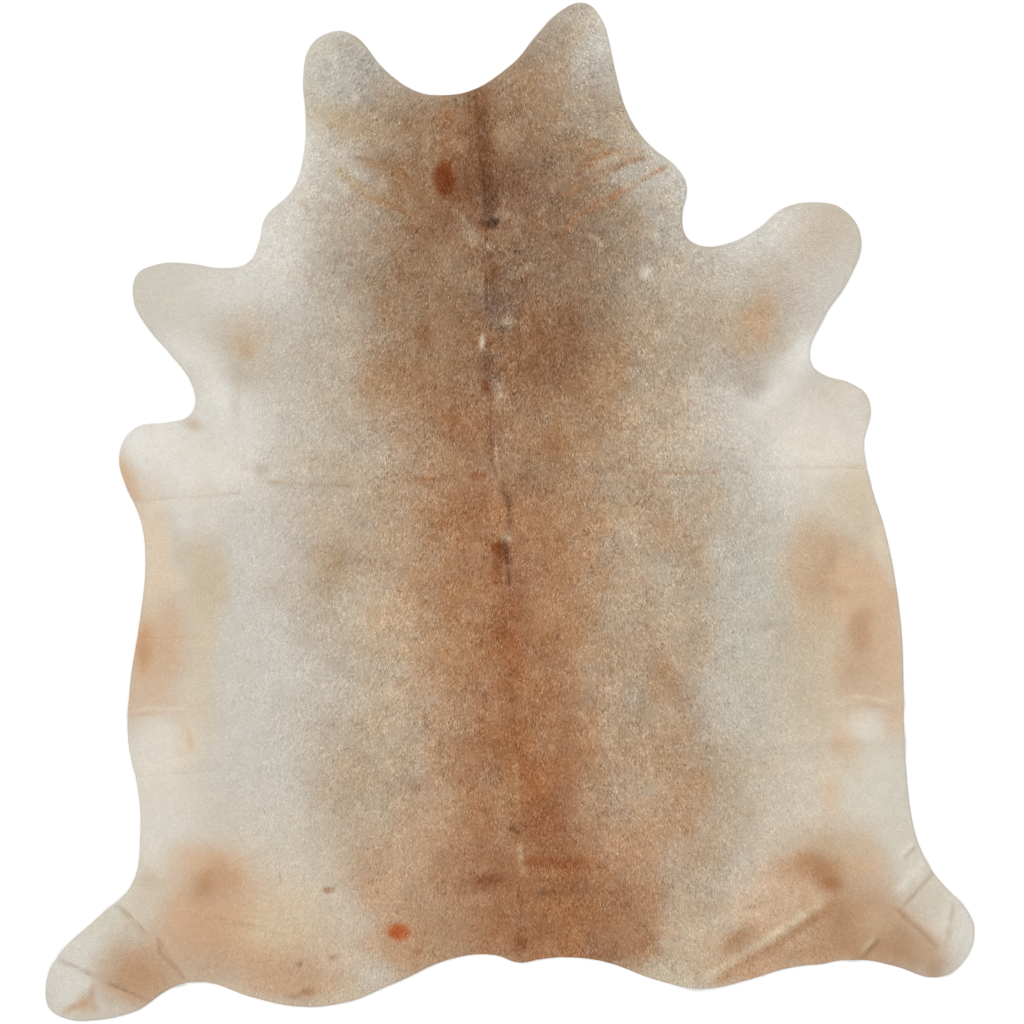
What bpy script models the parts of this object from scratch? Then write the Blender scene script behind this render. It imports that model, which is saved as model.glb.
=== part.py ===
"""A hair-on cowhide rug, lying flat on the floor with its hair side up.

The hide is one sheet: the tanned skin with its short coat of laid hair, the thickness of
both together. Its cut edge runs round the neck flaps, the fore legs, the flanks, the hind
legs and the rump. Folds left from packing lift the sheet a few millimetres off the floor.

Metres, +Z up. The origin is on the floor at the middle of the hide, +Y runs along the
spine towards the neck, and +X is to the right, seen from above.
"""
import math

import bmesh
import bpy
from mathutils import Vector

# --- driving dimensions ------------------------------------------------------------------
MM = 0.001
SKIN_THICKNESS = 2.0 * MM       # split and tanned cowhide
COAT_THICKNESS = 2.0 * MM       # short hair, laid flat
PANEL_PITCH = 110.0 * MM        # spacing of plain panels, which keep a fold's cuts near it
EDGE_STEPS = 6                  # mesh edges between two landmarks of the cut edge
FOLD_STATION = 70.0 * MM        # longest stretch of a fold between two of its cross cuts
FOLD_LINES = (-1.0, -0.5, 0.0, 0.5, 1.0)    # lines cut along a fold, in parts of its reach
RIDGE_SHARPNESS = 1.6           # how steeply a ridge falls away from its crest
VALLEY_CREST = 0.4              # where the swell beside a valley is highest, in its reach
VALLEY_FALL = 1.5               # how steeply that swell falls away outwards
FADE = 0.25                     # part of a fold's length over which each end dies out
JOIN_DISTANCE = 0.05 * MM
CUT_SNAP = 2.0 * MM             # a mesh point this near to a cut counts as lying on it

HIDE_COLOUR = (0.50, 0.37, 0.28, 1.0)
HIDE_ROUGHNESS = 0.75

# --- the cut edge ------------------------------------------------------------------------
# Landmarks in millimetres, clockwise seen from above: one at each swell, hollow and turn.
# Each row is name, x, y.
NECK_RIGHT = (
    ("flap tip", 160, 1100),
    ("flap corner", 194, 1073),
    ("flap side", 224, 969),
    ("neck", 258, 855),
    ("neck root", 303, 792),
    ("shoulder, upper", 362, 743),
    ("shoulder", 383, 704),
    ("shoulder, lower", 373, 637),
    ("armpit", 382, 594),
    ("armpit floor", 414, 575),
)
FORE_LEG_RIGHT = (
    ("leg root, neck side", 466, 579),
    ("leg top, rising", 533, 611),
    ("leg top", 589, 656),
    ("leg end, upper", 662, 669),
    ("leg end", 718, 655),
    ("leg end, outer", 759, 592),
    ("leg end, lower", 733, 501),
    ("leg underside", 665, 396),
    ("elbow notch", 651, 322),
    ("elbow notch floor", 677, 297),
)
FLANK_RIGHT = (
    ("brisket, upper", 738, 277),
    ("brisket", 778, 232),
    ("brisket, lower", 765, 143),
    ("waist", 781, 57),
    ("rib", 809, -33),
    ("belly, upper", 837, -174),
    ("belly", 849, -320),
    ("belly, lower", 853, -504),
    ("flank", 865, -648),
    ("hock hollow", 902, -757),
)
HIND_LEG_RIGHT = (
    ("leg top", 945, -813),
    ("leg outer side", 979, -847),
    ("leg end", 1004, -900),
    ("leg end, lower", 977, -976),
    ("leg toe", 923, -1007),
    ("leg underside", 830, -985),
    ("leg root", 755, -970),
)
RUMP = (
    ("right thigh, outer", 625, -983),
    ("right thigh", 533, -1008),
    ("right thigh, lowest", 415, -1031),
    ("right thigh, inner", 313, -1012),
    ("right seat", 207, -974),
    ("tail root, right", 134, -964),
    ("tail root, right lower", 67, -967),
    ("tail root", 19, -976),
    ("tail root, left", -35, -960),
    ("left seat", -134, -970),
    ("left thigh, inner", -242, -1017),
    ("left thigh", -377, -1065),
    ("left thigh, lowest", -456, -1070),
    ("left thigh, outer", -563, -1048),
)
HIND_LEG_LEFT = (
    ("leg root", -660, -1017),
    ("leg underside", -729, -1028),
    ("leg toe", -806, -1080),
    ("leg sole", -891, -1099),
    ("leg end, lower", -966, -1092),
    ("leg end", -1002, -1049),
    ("leg outer side", -971, -946),
    ("leg top", -895, -875),
)
FLANK_LEFT = (
    ("hock hollow", -819, -806),
    ("flank", -800, -698),
    ("flank hollow", -806, -590),
    ("belly, lower", -825, -504),
    ("belly", -823, -385),
    ("belly, upper", -805, -247),
    ("rib", -789, -115),
    ("waist", -801, -12),
    ("brisket, lower", -833, 53),
    ("brisket", -843, 133),
    ("brisket, upper", -809, 182),
)
FORE_LEG_LEFT = (
    ("elbow notch floor", -738, 195),
    ("elbow notch, inner", -688, 217),
    ("elbow notch", -687, 274),
    ("leg underside", -738, 342),
    ("leg underside, outer", -787, 400),
    ("leg end", -815, 456),
    ("leg end, upper", -811, 510),
    ("leg top", -770, 534),
    ("leg top, inner", -692, 537),
    ("leg root, neck side", -621, 527),
)
NECK_LEFT = (
    ("armpit floor", -565, 539),
    ("armpit", -544, 579),
    ("shoulder", -530, 635),
    ("shoulder, upper", -470, 696),
    ("neck root", -445, 783),
    ("neck", -443, 856),
    ("flap side", -448, 933),
    ("flap corner", -434, 1002),
    ("flap top", -399, 1032),
    ("flap tip", -349, 1036),
)
NAPE = (
    ("left flap, inner side", -264, 950),
    ("nape, left", -205, 911),
    ("nape floor, left", -151, 903),
    ("nape floor, right", -87, 910),
    ("nape, right", -15, 953),
    ("right flap, inner side", 50, 1026),
    ("right flap, crown", 108, 1083),
)
CUT_EDGE = (NECK_RIGHT + FORE_LEG_RIGHT + FLANK_RIGHT + HIND_LEG_RIGHT + RUMP
            + HIND_LEG_LEFT + FLANK_LEFT + FORE_LEG_LEFT + NECK_LEFT + NAPE)

# --- the folds ---------------------------------------------------------------------------
# Millimetres. A ridge stands up along its line. A valley's line is pressed to the floor
# and the sheet swells on both sides of it. Reach is the distance from the line to where
# the sheet lies flat again. A fold that ends past the cut edge runs out through it.
# Each row is name, form, x and y of the start, x and y of the end, height, reach.
FOLDS = (
    ("belt, left half", "valley", -1010, 11, 10, 82, 2.5, 48),
    ("belt, right half", "valley", -60, 84, 980, 96, 2.0, 44),
    ("haunch, right", "ridge", 400, -507, 1010, -486, 5.0, 42),
    ("belly ripple, right", "ridge", 640, -421, 960, -403, 4.0, 32),
    ("belly line, left", "valley", -960, -262, -560, -277, 1.5, 34),
    ("belly ripple, left", "ridge", -950, -436, -660, -430, 4.0, 34),
    ("haunch, left", "valley", -920, -578, -540, -552, 2.0, 38),
    ("rump, right", "ridge", 300, -1085, 745, -810, 6.5, 40),
    ("rump, left", "valley", -700, -866, -460, -920, 2.0, 36),
    ("shank, right", "ridge", 815, -847, 960, -694, 5.5, 32),
    ("hock, right", "ridge", 715, -988, 800, -905, 4.5, 26),
    ("heel, right", "valley", 825, -850, 925, -944, 3.0, 34),
    ("toe, right", "ridge", 975, -800, 932, -1015, 5.5, 34),
    ("shank, left", "valley", -905, -790, -764, -938, 3.0, 34),
    ("heel, left", "valley", -775, -895, -680, -1040, 3.5, 38),
    ("instep, left", "ridge", -812, -890, -878, -970, 4.0, 26),
    ("toe, left", "valley", -1060, -932, -785, -1052, 4.0, 42),
    ("neck wrinkle, left upper", "ridge", -390, 790, -80, 600, 2.0, 20),
    ("neck wrinkle, left lower", "ridge", -350, 715, -120, 555, 1.8, 20),
    ("neck wrinkle, right upper", "ridge", 95, 695, 345, 790, 2.0, 20),
    ("neck wrinkle, right lower", "ridge", 120, 630, 370, 750, 1.8, 20),
)


class Fold:
    """One row of the fold table, in metres, with its own along and across directions."""

    def __init__(self, _name, form, start_x, start_y, end_x, end_y, height, reach):
        self.form = form
        self.start = Vector((start_x * MM, start_y * MM, 0.0))
        span = Vector((end_x * MM, end_y * MM, 0.0)) - self.start
        self.length = span.length
        self.along = span.normalized()
        self.across = Vector((-self.along.y, self.along.x, 0.0))
        self.height = height * MM
        self.reach = reach * MM

    def place(self, point):
        """Distance along the fold, and across it in parts of its reach."""
        offset = Vector((point.x, point.y, 0.0)) - self.start
        return offset.dot(self.along), offset.dot(self.across) / self.reach

    def lift(self, point):
        """Height that the fold gives a point of the sheet: section times end fade."""
        travel, side = self.place(point)
        side = abs(side)
        if side >= 1.0 or not 0.0 < travel < self.length:
            return 0.0
        end_gap = min(travel, self.length - travel)
        fade = min(1.0, end_gap / (FADE * self.length))
        fade = fade * fade * (3.0 - 2.0 * fade)
        if self.form == "ridge":
            section = (1.0 - side) ** RIDGE_SHARPNESS
        else:
            section = side / VALLEY_CREST
            section *= ((1.0 - side) / (1.0 - VALLEY_CREST)) ** VALLEY_FALL
        return self.height * fade * section

    def cuts(self):
        """The planes that cut the fold's own lines and cross cuts, as point and normal."""
        for line in FOLD_LINES:
            yield self.start + line * self.reach * self.across, self.across
        count = math.ceil(self.length / FOLD_STATION)
        for station in range(count + 1):
            yield self.start + station / count * self.length * self.along, self.along

    def touches(self, face):
        """True if the box round a face comes within the fold's own strip."""
        places = [self.place(vertex.co) for vertex in face.verts]
        travels = [travel for travel, _ in places]
        sides = [side for _, side in places]
        return (max(travels) > 0.0 and min(travels) < self.length
                and max(sides) > -1.0 and min(sides) < 1.0)


def new_collection(name):
    collection = bpy.data.collections.new(name)
    bpy.context.scene.collection.children.link(collection)
    return collection


def hide_material():
    material = bpy.data.materials.new("hair-on hide")
    material.use_nodes = True
    shader = material.node_tree.nodes["Principled BSDF"]
    shader.inputs["Base Color"].default_value = HIDE_COLOUR
    shader.inputs["Roughness"].default_value = HIDE_ROUGHNESS
    shader.inputs["Metallic"].default_value = 0.0
    material.diffuse_color = HIDE_COLOUR
    return material


def cut_edge_mesh():
    """The flat hide: a closed curve with smooth handles through the landmarks, filled."""
    curve = bpy.data.curves.new("cut edge", "CURVE")
    curve.dimensions = "2D"
    curve.fill_mode = "BOTH"
    curve.resolution_u = EDGE_STEPS
    spline = curve.splines.new("BEZIER")
    spline.bezier_points.add(len(CUT_EDGE) - 1)
    for point, (_, x, y) in zip(spline.bezier_points, CUT_EDGE):
        point.co = (x * MM, y * MM, 0.0)
        point.handle_left_type = "AUTO"
        point.handle_right_type = "AUTO"
    spline.use_cyclic_u = True
    guide = bpy.data.objects.new("cut edge", curve)
    bpy.context.scene.collection.objects.link(guide)
    graph = bpy.context.evaluated_depsgraph_get()
    mesh = bpy.data.meshes.new_from_object(guide.evaluated_get(graph), depsgraph=graph)
    bpy.data.objects.remove(guide)
    bpy.data.curves.remove(curve)
    return mesh


def bisect(sheet, faces, point, normal):
    """Cut some faces along the plane through a point, with their edges and vertices."""
    edges = dict.fromkeys(edge for face in faces for edge in face.edges)
    vertices = dict.fromkeys(vertex for face in faces for vertex in face.verts)
    bmesh.ops.bisect_plane(sheet, geom=[*faces, *edges, *vertices],
                           dist=CUT_SNAP, plane_co=point, plane_no=normal)


def cut_panels(sheet):
    """Cut the whole sheet into plain square panels."""
    for axis in (Vector((1.0, 0.0, 0.0)), Vector((0.0, 1.0, 0.0))):
        extent = [vertex.co.dot(axis) for vertex in sheet.verts]
        first = math.ceil(min(extent) / PANEL_PITCH)
        last = math.floor(max(extent) / PANEL_PITCH)
        for step in range(first, last + 1):
            bisect(sheet, sheet.faces[:], step * PANEL_PITCH * axis, axis)


def build_hide(collection):
    """The sheet, cut into panels and along its folds, lifted there and given its thickness."""
    mesh = cut_edge_mesh()
    sheet = bmesh.new()
    sheet.from_mesh(mesh)
    bmesh.ops.remove_doubles(sheet, verts=sheet.verts, dist=JOIN_DISTANCE)
    bmesh.ops.dissolve_faces(sheet, faces=sheet.faces[:])
    cut_panels(sheet)
    folds = [Fold(*row) for row in FOLDS]
    for fold in folds:
        for point, normal in fold.cuts():
            bisect(sheet, [face for face in sheet.faces if fold.touches(face)], point, normal)
    for vertex in sheet.verts:
        vertex.co.z = sum(fold.lift(vertex.co) for fold in folds)
    bmesh.ops.triangulate(sheet, faces=sheet.faces[:])
    bmesh.ops.recalc_face_normals(sheet, faces=sheet.faces[:])
    if sum(face.normal.z for face in sheet.faces) < 0.0:
        bmesh.ops.reverse_faces(sheet, faces=sheet.faces[:])
    sheet.to_mesh(mesh)
    sheet.free()
    mesh.name = "hide"
    hide = bpy.data.objects.new("hide", mesh)
    collection.objects.link(hide)
    hide.data.materials.append(hide_material())
    thickness = hide.modifiers.new("skin and coat", "SOLIDIFY")
    thickness.thickness = SKIN_THICKNESS + COAT_THICKNESS
    thickness.offset = 1.0
    return hide


def main():
    for existing in list(bpy.data.objects):
        bpy.data.objects.remove(existing)
    build_hide(new_collection("cowhide rug"))


main()
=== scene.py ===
"""Hair-on cowhide rug, laid flat.

A 2 mm leather sheet lies on the floor with its flesh side down. A coat of short hair covers its upper
side: a ground of dense underhair that follows the folds, and single guard hairs that lie back from the neck
to the tail. All places are in millimetres from the middle of the rug, +Y to the neck, and become metres in
the meshes.
"""
import math
import bmesh
import bpy
import numpy as np
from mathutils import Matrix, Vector
from mathutils.geometry import delaunay_2d_cdt


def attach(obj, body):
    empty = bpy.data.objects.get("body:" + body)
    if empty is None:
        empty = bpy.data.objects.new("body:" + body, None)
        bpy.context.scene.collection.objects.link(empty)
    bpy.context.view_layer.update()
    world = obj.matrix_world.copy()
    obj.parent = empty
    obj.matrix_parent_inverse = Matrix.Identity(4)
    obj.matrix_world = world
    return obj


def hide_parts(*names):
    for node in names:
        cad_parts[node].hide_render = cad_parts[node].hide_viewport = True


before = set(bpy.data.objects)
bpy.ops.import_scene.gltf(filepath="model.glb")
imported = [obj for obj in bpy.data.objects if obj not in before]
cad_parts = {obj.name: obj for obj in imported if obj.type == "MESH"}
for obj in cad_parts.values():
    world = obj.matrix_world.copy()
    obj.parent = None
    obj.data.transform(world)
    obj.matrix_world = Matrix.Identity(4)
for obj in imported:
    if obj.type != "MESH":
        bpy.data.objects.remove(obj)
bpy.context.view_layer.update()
COAT_LAYER = "coat colour"

# ---------------------------------------------------------------- sizes, mm
SKIN = 2.0              # leather thickness
GROUND = 1.5            # underhair over the leather
GROUND_PITCH = 7.5      # spacing of the ground's points
SKIN_PITCH = 17.0       # spacing of the leather's points
RIM_PITCH = 4.0         # spacing along the cut edge
HAIR_PITCH = 2.10       # spacing of the guard hair roots
HAIR_LENGTH = (4.6, 7.6)  # shortest and longest
HAIR_WIDTH = (1.25, 1.95)  # thinnest and thickest
FRINGE_LENGTH = (2.4, 4.6)
HAIR_LIFT = (2.0, 9.0)  # degrees that a hair stands off the ground
HAIR_ROLL = (0.3, 0.6)  # radians that a hair is rolled about itself: usual and most
FRINGE_PITCH = 0.75     # spacing of the hair rooted in the cut edge
FRINGE_ROOTS = (1.8, 6.0)  # how far from the cut edge that hair starts
FRINGE_LIFT = (-22.0, -6.0)  # degrees, so it points down
FRINGE_LEAN = 0.55      # least share of its direction that points out over the edge
EDGE_INSET = 2.2        # how far the knife ran inside the solid's rim, apart from the places of KNIFE
ROLL_REACH = 3.0        # how far in from the cut edge the underhair starts to roll down
ROLL_DROP = 1.9         # how far it rolls down
ROLL_CLEAR = 2.6        # how far in from the cut edge its inner points start, apart from CLEAR
CLEAR = 0.6             # gap between an outline and the points inside it, in spacings of those points
ROOT_INSET = 5.0        # how far from the cut edge the guard hair starts
WALL_STEP = 4.0         # half the height of the cut edge's strip on the map
MAP_SIZE = 2240.0       # side of the square that the rug's map covers

# Folds: a ridge or valley runs from one point to another, lifts by height at its middle and fades out over
# reach to each side. The same folds are in the solid part.
FOLDS = (
    ("belt, left half", "valley", -1010, 11, 10, 82, 2.5, 48),
    ("belt, right half", "valley", -60, 84, 980, 96, 2.0, 44),
    ("haunch, right", "ridge", 400, -507, 1010, -486, 5.0, 42),
    ("belly ripple, right", "ridge", 640, -421, 960, -403, 4.0, 32),
    ("belly line, left", "valley", -960, -262, -560, -277, 1.5, 34),
    ("belly ripple, left", "ridge", -950, -436, -660, -430, 4.0, 34),
    ("haunch, left", "valley", -920, -578, -540, -552, 2.0, 38),
    ("rump, right", "ridge", 300, -1085, 745, -810, 6.5, 40),
    ("rump, left", "valley", -700, -866, -460, -920, 2.0, 36),
    ("shank, right", "ridge", 815, -847, 960, -694, 5.5, 32),
    ("hock, right", "ridge", 715, -988, 800, -905, 4.5, 26),
    ("heel, right", "valley", 825, -850, 925, -944, 3.0, 34),
    ("toe, right", "ridge", 975, -800, 932, -1015, 5.5, 34),
    ("shank, left", "valley", -905, -790, -764, -938, 3.0, 34),
    ("heel, left", "valley", -775, -895, -680, -1040, 3.5, 38),
    ("instep, left", "ridge", -812, -890, -878, -970, 4.0, 26),
    ("toe, left", "valley", -1060, -932, -785, -1052, 4.0, 42),
    ("neck wrinkle, left upper", "ridge", -390, 790, -80, 600, 2.0, 20),
    ("neck wrinkle, left lower", "ridge", -350, 715, -120, 555, 1.8, 20),
    ("neck wrinkle, right upper", "ridge", 95, 695, 345, 790, 2.0, 20),
    ("neck wrinkle, right lower", "ridge", 120, 630, 370, 750, 1.8, 20),
)

# Hair colours, as seen on a screen, 0 to 255.
COLOURS = {
    "white": (230, 227, 221),
    "pearl": (219, 215, 206),
    "cream": (222, 215, 201),
    "ivory": (211, 205, 189),
    "silver": (205, 199, 188),
    "ash": (190, 184, 170),
    "grey": (172, 161, 145),
    "stone": (189, 176, 156),
    "sand": (211, 194, 167),
    "beige": (198, 175, 147),
    "peach": (211, 176, 143),
    "apricot": (204, 160, 121),
    "tan": (188, 150, 117),
    "khaki": (181, 160, 135),
    "fawn": (176, 148, 121),
    "hazel": (165, 128, 98),
    "brown": (163, 115, 81),
    "russet": (148, 94, 62),
    "umber": (133, 95, 68),
    "dark": (100, 70, 50),
    "soot": (72, 50, 36),
    "rust": (122, 66, 36),
    "copper": (180, 98, 58),
    "taupe": (146, 114, 88),
    "gold": (187, 162, 126),
    "blush": (220, 202, 179),
    "rose": (208, 178, 148),
    "wheat": (195, 167, 138),
    "oat": (203, 186, 161),
    "dun": (140, 123, 109),
}

# Coat pattern: each patch has its middle, its half sizes across and along, its colour and its strength at the
# middle, and then the crispness of its border, 1 if not given, and its turn in degrees anticlockwise, 0 if
# not given. Later patches lie over earlier ones.
PATCHES = (
    # broad fields
    (-22, -105, 410, 906, "stone", 0.75, 2.5), (-43, 607, 367, 410, "stone", 0.6, 2),
    # neck
    (-39, 747, 216, 226, "taupe", 0.9, 1.7, -4), (65, 870, 99, 160, "hazel", 0.6, 1.2, -24),
    (-205, 780, 86, 86, "hazel", 0.5, 1.2, -30), (-177, 655, 82, 65, "taupe", 0.75),
    (-69, 737, 43, 142, "umber", 0.8, 1.2, 3), (-405, 952, 73, 97, "ivory", 0.9, 1.3, -14),
    (-311, 965, 52, 60, "grey", 0.6, 1.1, 35), (-352, 879, 52, 39, "grey", 0.6),
    (-285, 866, 65, 47, "grey", 0.6, 1, 20), (-267, 836, 65, 47, "taupe", 0.45),
    (190, 978, 47, 108, "silver", 0.9, 1.2, -6), (75, 978, 43, 91, "khaki", 0.85, 1.1, -34),
    (121, 1069, 35, 35, "grey", 0.6), (205, 877, 43, 56, "stone", 0.6), (173, 866, 47, 39, "grey", 0.8),
    (56, 944, 35, 78, "hazel", 0.6, 1.2, -30), (-453, 726, 43, 104, "pearl", 0.9, 1.1, -10),
    (-397, 918, 47, 47, "ash", 0.7), (-354, 836, 65, 28, "gold", 0.65, 1, -16),
    (-293, 816, 56, 32, "khaki", 0.65, 1, -15), (-377, 683, 65, 43, "stone", 0.5),
    (358, 719, 47, 60, "silver", 0.85, 1.3), (313, 661, 78, 47, "ash", 0.7, 1.1, 20),
    (220, 823, 52, 47, "gold", 0.35, 1, -45), (168, 866, 39, 35, "khaki", 0.6),
    (181, 918, 35, 65, "grey", 0.5, 1.1, -8), (375, 659, 30, 39, "silver", 0.8),
    (-518, 596, 78, 99, "pearl", 1, 1.3, -35), (-339, 517, 58, 95, "grey", 0.8, 1.1, -8),
    (298, 575, 86, 56, "grey", 0.7, 1.1, 20), (-289, 504, 43, 86, "khaki", 0.55, 1, -5),
    # withers and shoulders
    (-198, 586, 129, 108, "hazel", 0.65, 1.1), (129, 596, 104, 155, "taupe", 0.95, 1.3),
    (224, 590, 41, 65, "khaki", 0.7), (-22, 586, 56, 86, "taupe", 0.6), (-32, 655, 116, 65, "umber", 0.5),
    (-168, 504, 69, 47, "taupe", 0.45), (35, 668, 39, 43, "umber", 0.4),
    (-32, 348, 263, 205, "taupe", 0.95, 1.7), (-237, 288, 99, 112, "hazel", 0.75, 1.1),
    (99, 359, 104, 86, "umber", 0.7, 1.2, -10), (194, 273, 65, 108, "brown", 0.45, 1.1, -5),
    (-388, 348, 73, 205, "stone", 0.6, 1.2, -6), (-220, 456, 73, 56, "taupe", 0.6),
    (298, 359, 65, 129, "khaki", 0.8, 1.1, -8), (302, 197, 86, 97, "beige", 0.8, 1.1),
    (423, 413, 73, 99, "khaki", 0.75, 1.1), (220, 297, 39, 56, "hazel", 0.5),
    (384, 506, 56, 47, "khaki", 0.45), (328, 249, 43, 47, "khaki", 0.6), (-97, 187, 97, 69, "brown", 0.55),
    (-95, 94, 99, 43, "brown", 0.5), (108, 143, 134, 91, "hazel", 0.8, 1.1),
    # fore legs
    (-729, 478, 112, 73, "ivory", 0.8, 1.2, 5), (-755, 402, 65, 35, "silver", 0.6, 1, -45),
    (-582, 489, 86, 47, "pearl", 0.8, 1.1), (-567, 376, 56, 47, "beige", 0.75, 1, 30),
    (-539, 303, 78, 32, "stone", 0.65, 1, 16), (-712, 353, 47, 30, "pearl", 1, 1.1, -40),
    (-569, 348, 13, 17, "tan", 0.5), (-621, 240, 39, 99, "white", 0.95, 1.2, 25),
    (690, 596, 82, 73, "beige", 0.45, 1.1, -30), (544, 590, 91, 35, "pearl", 0.85, 1.1, 33),
    (695, 489, 30, 112, "silver", 0.8, 1.1, -32), (539, 426, 69, 78, "khaki", 0.75, 1.1, -10),
    (528, 413, 39, 69, "wheat", 0.5, 1.3, -6), (544, 443, 15, 37, "tan", 0.6, 1.1, 8),
    (487, 504, 56, 47, "ash", 0.6), (515, 415, 11, 15, "apricot", 0.6), (539, 379, 13, 13, "apricot", 0.45),
    (498, 348, 30, 13, "gold", 0.45, 1.1), (470, 322, 86, 43, "grey", 0.6),
    (589, 294, 30, 99, "white", 0.95, 1.2, -38),
    # brisket
    (-755, 143, 104, 69, "white", 1, 1.3, -5), (-638, 90, 112, 82, "cream", 1, 1.3),
    (-833, 68, 26, 69, "peach", 0.9, 1.2, 28), (-660, 90, 58, 47, "white", 0.8),
    (-595, 171, 43, 56, "pearl", 0.6), (658, 150, 129, 86, "cream", 1, 1.4, 8),
    (723, 258, 56, 26, "sand", 0.45), (617, 38, 95, 52, "pearl", 0.8, 1, 10),
    # left flank
    (-535, -320, 125, 324, "silver", 0.9, 1.5, 4), (-669, -277, 35, 280, "sand", 0.75, 1.3, -2),
    (-651, -146, 43, 75, "oat", 0.9, 1.6), (-703, -74, 30, 43, "oat", 0.55, 1.6),
    (-658, -8, 43, 39, "pearl", 0.6), (-761, -305, 58, 121, "rose", 1, 2.2, -2),
    (-770, -79, 35, 134, "blush", 0.95, 2.6, 2), (-740, -143, 32, 32, "blush", 0.9, 2.6),
    (-705, -10, 19, 39, "pearl", 0.7, 1.5, 6), (-789, -299, 19, 50, "apricot", 0.9, 1.5, -5),
    (-792, -310, 9, 22, "tan", 0.6, 1.2), (-761, -441, 65, 30, "rose", 0.55, 1.6),
    (-755, -568, 73, 129, "cream", 1, 1.3), (-768, -734, 39, 56, "cream", 0.8),
    (-811, -721, 22, 56, "pearl", 0.6), (-720, -683, 52, 52, "pearl", 0.6),
    (-755, -484, 35, 37, "cream", 0.8, 1.6), (-528, -704, 155, 95, "sand", 0.38),
    (-513, -338, 56, 65, "silver", 0.5), (-729, 25, 47, 26, "cream", 0.6),
    (-697, -484, 19, 56, "blush", 0.75, 1.3),
    # left of the spine
    (-248, -320, 97, 324, "beige", 0.85, 1.3, -4), (-371, -105, 60, 60, "fawn", 0.75, 1.1),
    (-324, -558, 99, 160, "khaki", 0.75, 1.2), (-352, -376, 39, 65, "silver", 0.55),
    (-401, -217, 56, 91, "khaki", 0.5), (-211, -105, 47, 65, "tan", 0.4), (-311, 72, 65, 56, "stone", 0.5),
    (-393, 90, 73, 56, "stone", 0.55), (-129, -605, 56, 69, "tan", 0.4),
    (-233, 25, 116, 91, "fawn", 0.85, 1.2),
    # right of the spine
    (280, -169, 142, 302, "khaki", 0.95, 1.4, 4), (349, -51, 32, 142, "fawn", 0.85, 1.1, 38),
    (423, -1, 60, 73, "khaki", 1), (334, -374, 56, 95, "fawn", 0.75, 1.1, 20),
    (324, -338, 19, 60, "hazel", 0.55, 1, 20), (349, -159, 30, 65, "stone", 0.8),
    (345, -570, 108, 164, "fawn", 1, 1.3, 8), (280, -730, 99, 73, "tan", 0.9, 1.1),
    (500, -635, 69, 99, "khaki", 0.6, 1.1), (479, -527, 56, 69, "khaki", 0.6),
    (380, -484, 43, 52, "fawn", 0.5), (431, -687, 47, 52, "khaki", 0.7), (263, -622, 43, 47, "khaki", 0.25),
    (427, -217, 52, 108, "khaki", 0.45), (151, -182, 60, 108, "tan", 0.4), (177, -18, 52, 52, "hazel", 0.3),
    (513, -411, 108, 134, "khaki", 0.28),
    # back
    (-11, -169, 185, 313, "brown", 0.95, 1.8), (-119, -72, 65, 95, "hazel", 0.3),
    (-43, -10, 78, 56, "brown", 0.8), (69, -61, 52, 95, "tan", 0.4), (65, 90, 56, 43, "hazel", 0.65),
    (2, -299, 30, 173, "russet", 0.55, 1.1), (26, -601, 168, 248, "brown", 1, 2),
    (91, -633, 52, 108, "russet", 0.5, 1.1, -5), (65, -476, 43, 52, "tan", 0.35),
    (-11, -493, 129, 129, "brown", 0.5),
    # right flank
    (522, -212, 73, 302, "ash", 0.95, 1.6, 3), (643, -536, 112, 237, "sand", 0.45, 1.2, 4),
    (660, -221, 73, 237, "oat", 0.95, 1.8, 3), (669, -130, 67, 91, "wheat", 0.95, 2, 6),
    (638, -234, 39, 56, "wheat", 0.5, 1.3), (761, -184, 58, 101, "rose", 1, 2.6, 12),
    (768, -191, 65, 108, "rose", 1, 2.6, 14), (768, -329, 71, 91, "wheat", 0.8, 3),
    (817, -277, 32, 125, "rose", 0.85, 1.5), (738, 42, 52, 60, "sand", 0.85, 1.4, -20),
    (757, -264, 22, 39, "tan", 0.75, 1.8, -5), (768, -225, 19, 15, "tan", 0.45, 1.2),
    (740, -238, 9, 26, "tan", 0.35, 1.2), (748, -338, 28, 19, "tan", 0.3, 1.2),
    (688, -105, 15, 30, "tan", 0.4, 1.1), (669, -156, 19, 15, "tan", 0.35, 1.1),
    (712, -174, 19, 13, "tan", 0.45, 1.2, -20), (740, -74, 11, 22, "khaki", 0.35, 1.2),
    (768, -36, 43, 65, "oat", 0.7, 1.6, 15), (798, -61, 15, 65, "blush", 0.7, 1.5, 12),
    (664, -368, 32, 99, "oat", 0.8, 2.2), (630, -363, 30, 73, "stone", 0.7),
    (725, -501, 24, 35, "apricot", 0.9), (723, -504, 22, 13, "tan", 0.5, 1.6),
    (727, -555, 13, 9, "tan", 0.35, 1.3), (695, -611, 19, 47, "peach", 0.7),
    (781, -590, 73, 116, "ivory", 1, 1.4), (738, -519, 30, 47, "rose", 0.4, 1.2),
    (833, -441, 30, 47, "rose", 0.75), (759, -458, 37, 28, "cream", 0.75, 1.6),
    # rump
    (108, -877, 224, 138, "brown", 1, 2.6), (242, -920, 86, 69, "umber", 0.28, 1.3, -10),
    (-177, -920, 108, 108, "hazel", 0.85, 1.4, -10), (-160, -730, 73, 108, "tan", 0.85, 1.2),
    (-116, -769, 52, 65, "hazel", 0.85, 1.1), (-91, -760, 47, 60, "brown", 0.55),
    (69, -823, 17, 11, "umber", 0.7, 1.1), (-22, -734, 15, 26, "umber", 0.35, 1, -15),
    (24, -937, 15, 13, "rust", 0.48, 1.1), (177, -929, 9, 30, "umber", 0.45),
    (-289, -831, 69, 91, "tan", 0.95), (272, -993, 60, 30, "tan", 0.6), (272, -838, 47, 47, "tan", 0.45),
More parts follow.
